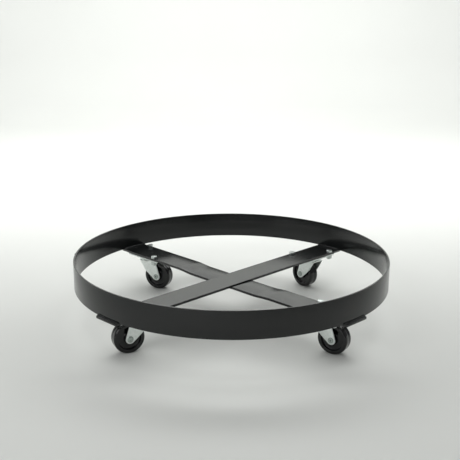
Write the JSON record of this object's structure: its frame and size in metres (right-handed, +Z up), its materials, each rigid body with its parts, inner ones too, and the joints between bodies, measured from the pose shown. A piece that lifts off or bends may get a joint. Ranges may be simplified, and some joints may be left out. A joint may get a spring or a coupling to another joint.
{
  "type": "drum dolly",
  "caption": "Ring drum dolly: a rolled flat-bar ring welded on two crossed flat bars, with swivel plate casters bolted under the bar ends.",
  "frame": {"origin": "on the floor, under the middle of the ring", "axes": "+Z up out of the ring; +X to the right and +Y to the back as seen by someone facing the front, with the crossbars at 45 degrees between them"},
  "size_m": [0.6056, 0.604, 0.127],
  "materials": {
    "black_paint": "semi-gloss black enamel on hot-rolled steel flat bar",
    "zinc_plating": "satin clear zinc plating on pressed steel",
    "zinc_bolts": "bright zinc plating on cold-headed steel",
    "zinc_rivet": "zinc plating, burnished where the end is rolled over",
    "plain_steel": "turned steel, lightly oiled",
    "bearing_steel": "polished and greased",
    "moulded_black": "glossy moulded polyolefin"
  },
  "bodies": {
    "frame": {"ring": "black_paint", "ring_seam_weld": "black_paint", "upper_crossbar": "black_paint", "lower_crossbar": "black_paint", "crossbar_centre_welds": "black_paint", "ring_to_bar_welds": "black_paint", "front_left_plate": "zinc_plating", "front_left_kingpin": "plain_steel", "front_left_lower_race": "zinc_plating", "front_left_bolts": "zinc_bolts", "front_left_washers": "zinc_bolts", "front_left_nuts": "zinc_bolts", "front_right_plate": "zinc_plating", "front_right_kingpin": "plain_steel", "front_right_lower_race": "zinc_plating", "front_right_bolts": "zinc_bolts", "front_right_washers": "zinc_bolts", "front_right_nuts": "zinc_bolts", "back_left_plate": "zinc_plating", "back_left_kingpin": "plain_steel", "back_left_lower_race": "zinc_plating", "back_left_bolts": "zinc_bolts", "back_left_washers": "zinc_bolts", "back_left_nuts": "zinc_bolts", "back_right_plate": "zinc_plating", "back_right_kingpin": "plain_steel", "back_right_lower_race": "zinc_plating", "back_right_bolts": "zinc_bolts", "back_right_washers": "zinc_bolts", "back_right_nuts": "zinc_bolts"},
    "front_left_swivel": {"front_left_fork": "zinc_plating", "front_left_upper_balls": "bearing_steel", "front_left_lower_balls": "bearing_steel", "front_left_bushing": "plain_steel", "front_left_axle": "zinc_rivet"},
    "front_left_roller": {"front_left_wheel": "moulded_black"},
    "front_right_swivel": {"front_right_fork": "zinc_plating", "front_right_upper_balls": "bearing_steel", "front_right_lower_balls": "bearing_steel", "front_right_bushing": "plain_steel", "front_right_axle": "zinc_rivet"},
    "front_right_roller": {"front_right_wheel": "moulded_black"},
    "back_left_swivel": {"back_left_fork": "zinc_plating", "back_left_upper_balls": "bearing_steel", "back_left_lower_balls": "bearing_steel", "back_left_bushing": "plain_steel", "back_left_axle": "zinc_rivet"},
    "back_left_roller": {"back_left_wheel": "moulded_black"},
    "back_right_swivel": {"back_right_fork": "zinc_plating", "back_right_upper_balls": "bearing_steel", "back_right_lower_balls": "bearing_steel", "back_right_bushing": "plain_steel", "back_right_axle": "zinc_rivet"},
    "back_right_roller": {"back_right_wheel": "moulded_black"}
  },
  "joints": [
    {"name": "front_left_swivel_turn", "type": "hinge", "parent": "frame", "child": "front_left_swivel", "pos_m": [-0.169, -0.169, 0.0714], "axis": [0, 0, 1], "continuous": true},
    {"name": "front_left_wheel_roll", "type": "hinge", "parent": "front_left_swivel", "child": "front_left_roller", "pos_m": [-0.1835, -0.17576, 0.0285], "axis": [0.4226, -0.9063, 0], "continuous": true},
    {"name": "front_right_swivel_turn", "type": "hinge", "parent": "frame", "child": "front_right_swivel", "pos_m": [0.169, -0.169, 0.0714], "axis": [0, 0, 1], "continuous": true},
    {"name": "front_right_wheel_roll", "type": "hinge", "parent": "front_right_swivel", "child": "front_right_roller", "pos_m": [0.18257, -0.17748, 0.0285], "axis": [0.5299, 0.848, 0], "continuous": true},
    {"name": "back_left_swivel_turn", "type": "hinge", "parent": "frame", "child": "back_left_swivel", "pos_m": [-0.169, 0.169, 0.0714], "axis": [0, 0, 1], "continuous": true},
    {"name": "back_left_wheel_roll", "type": "hinge", "parent": "back_left_swivel", "child": "back_left_roller", "pos_m": [-0.15438, 0.16249, 0.0285], "axis": [0.4067, 0.9135, 0], "continuous": true},
    {"name": "back_right_swivel_turn", "type": "hinge", "parent": "frame", "child": "back_right_swivel", "pos_m": [0.169, 0.169, 0.0714], "axis": [0, 0, 1], "continuous": true},
    {"name": "back_right_wheel_roll", "type": "hinge", "parent": "back_right_swivel", "child": "back_right_roller", "pos_m": [0.15871, 0.18125, 0.0285], "axis": [-0.766, -0.6428, 0], "continuous": true}
  ]
}
